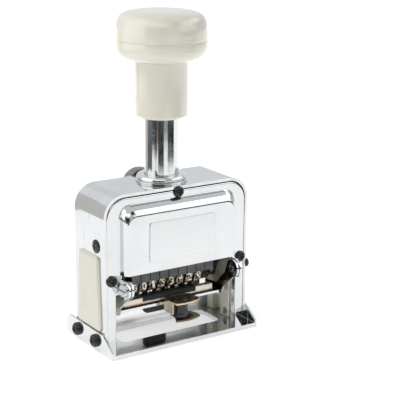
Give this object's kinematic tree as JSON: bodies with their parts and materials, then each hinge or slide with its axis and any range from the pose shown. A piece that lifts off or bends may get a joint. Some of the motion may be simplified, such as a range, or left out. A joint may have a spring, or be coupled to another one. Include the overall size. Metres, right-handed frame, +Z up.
{
  "type": "hand numbering machine",
  "caption": "Hand numbering machine: a sprung knob and plunger press a row of number wheels through a frame while an ink pad swings aside, with a selector dial.",
  "frame": {"origin": "centre of the base's underside, on the table", "axes": "+Z up along the plunger, the front cover with the label faces -Y, +X to the right seen from the front"},
  "size_m": [0.0804, 0.0421, 0.145],
  "materials": {
    "frame_chrome": "polished",
    "cover_chrome": "polished",
    "base_chrome": "polished",
    "label_plain": "satin",
    "cream_panel": "satin",
    "cream_knob": "glossy",
    "tube_chrome": "polished",
    "black_screw": "satin black",
    "black_rubber": "matte",
    "pivot_chrome": "polished",
    "plain_steel": "satin",
    "spring_steel": "oiled",
    "dark_steel": "oiled",
    "wheel_brass": "inked",
    "felt_pad": "felt",
    "bronze_tab": "satin",
    "black_catch": "gloss black",
    "dial_grey": "satin"
  },
  "bodies": {
    "frame": {"base": "base_chrome", "outer_shell": "frame_chrome", "front_cover": "cover_chrome", "rear_cover": "cover_chrome", "label_plate": "label_plain", "side_panel_left": "cream_panel", "side_panel_right": "cream_panel", "collar": "tube_chrome", "spring_bridge": "plain_steel", "front_screws": "black_screw", "rear_screws": "black_screw", "side_screws": "black_screw", "base_screws": "black_screw", "edge_screw": "black_screw", "rear_buffer": "black_rubber", "inker_pivot_pins": "pivot_chrome", "return_spring": "spring_steel"},
    "plunger": {"plunger_tube": "tube_chrome", "tube_foot": "plain_steel", "tube_cap": "plain_steel", "handle_sleeve": "cream_knob", "knob_ring": "cream_knob", "knob_cap": "cream_knob", "knob_screw": "plain_steel", "carriage_head": "dark_steel", "carriage_side_left": "plain_steel", "carriage_side_right": "plain_steel", "wheel_axle": "plain_steel", "axle_clips": "plain_steel", "wheel_spacer": "tube_chrome", "detent_comb": "dark_steel"},
    "wheel_1": {"number_wheel_1": "wheel_brass"},
    "wheel_2": {"number_wheel_2": "wheel_brass"},
    "wheel_3": {"number_wheel_3": "wheel_brass"},
    "wheel_4": {"number_wheel_4": "wheel_brass"},
    "wheel_5": {"number_wheel_5": "wheel_brass"},
    "wheel_6": {"number_wheel_6": "wheel_brass"},
    "wheel_7": {"number_wheel_7": "wheel_brass"},
    "wheel_8": {"number_wheel_8": "wheel_brass"},
    "pawl_carrier": {"pawl_arm_left": "dark_steel", "pawl_arm_right": "dark_steel", "pawl_bar": "plain_steel", "pawls": "dark_steel", "drive_ratchet": "dark_steel"},
    "inker": {"inker_arm_left": "pivot_chrome", "inker_arm_right": "pivot_chrome", "inker_crossbar": "pivot_chrome"},
    "ink_drawer": {"ink_tray": "pivot_chrome", "ink_pad": "felt_pad", "finger_tab": "bronze_tab", "tray_catch": "black_catch"},
    "selector": {"selector_dial": "dial_grey", "dial_shaft": "plain_steel", "dial_cam": "plain_steel"}
  },
  "joints": [
    {"name": "press", "type": "slide", "parent": "frame", "child": "plunger", "axis": [0, 0, -1], "range_m": [0, 0.0198], "stiffness_N_per_m": 250, "springref_m": -0.016, "deforming": ["return_spring"]},
    {"name": "inker_swing", "type": "hinge", "parent": "frame", "child": "inker", "pos_m": [0, -0.0165, 0.029], "axis": [-1, 0, 0], "range_deg": [0, 75]},
    {"name": "pawl_swing", "type": "hinge", "parent": "plunger", "child": "pawl_carrier", "pos_m": [0, -0.001, 0.02991], "axis": [-1, 0, 0], "range_deg": [0, 36]},
    {"name": "ink_drawer_slide", "type": "slide", "parent": "inker", "child": "ink_drawer", "axis": [0, -1, 0], "range_m": [0, 0.012]},
    {"name": "selector_turn", "type": "hinge", "parent": "frame", "child": "selector", "pos_m": [-0.002, 0.0167, 0.0647], "axis": [0, 1, 0], "continuous": true},
    {"name": "wheel_1_turn", "type": "hinge", "parent": "plunger", "child": "wheel_1", "pos_m": [0, -0.001, 0.02991], "axis": [1, 0, 0], "continuous": true},
    {"name": "wheel_2_turn", "type": "hinge", "parent": "plunger", "child": "wheel_2", "pos_m": [0, -0.001, 0.02991], "axis": [1, 0, 0], "continuous": true},
    {"name": "wheel_3_turn", "type": "hinge", "parent": "plunger", "child": "wheel_3", "pos_m": [0, -0.001, 0.02991], "axis": [1, 0, 0], "continuous": true},
    {"name": "wheel_4_turn", "type": "hinge", "parent": "plunger", "child": "wheel_4", "pos_m": [0, -0.001, 0.02991], "axis": [1, 0, 0], "continuous": true},
    {"name": "wheel_5_turn", "type": "hinge", "parent": "plunger", "child": "wheel_5", "pos_m": [0, -0.001, 0.02991], "axis": [1, 0, 0], "continuous": true},
    {"name": "wheel_6_turn", "type": "hinge", "parent": "plunger", "child": "wheel_6", "pos_m": [0, -0.001, 0.02991], "axis": [1, 0, 0], "continuous": true},
    {"name": "wheel_7_turn", "type": "hinge", "parent": "plunger", "child": "wheel_7", "pos_m": [0, -0.001, 0.02991], "axis": [1, 0, 0], "continuous": true},
    {"name": "wheel_8_turn", "type": "hinge", "parent": "plunger", "child": "wheel_8", "pos_m": [0, -0.001, 0.02991], "axis": [1, 0, 0], "continuous": true}
  ],
  "couplings": [
    {"joint": "inker_swing", "follows": "press", "rad_per_m": 66.11},
    {"joint": "pawl_swing", "follows": "press", "rad_per_m": 31.733}
  ]
}
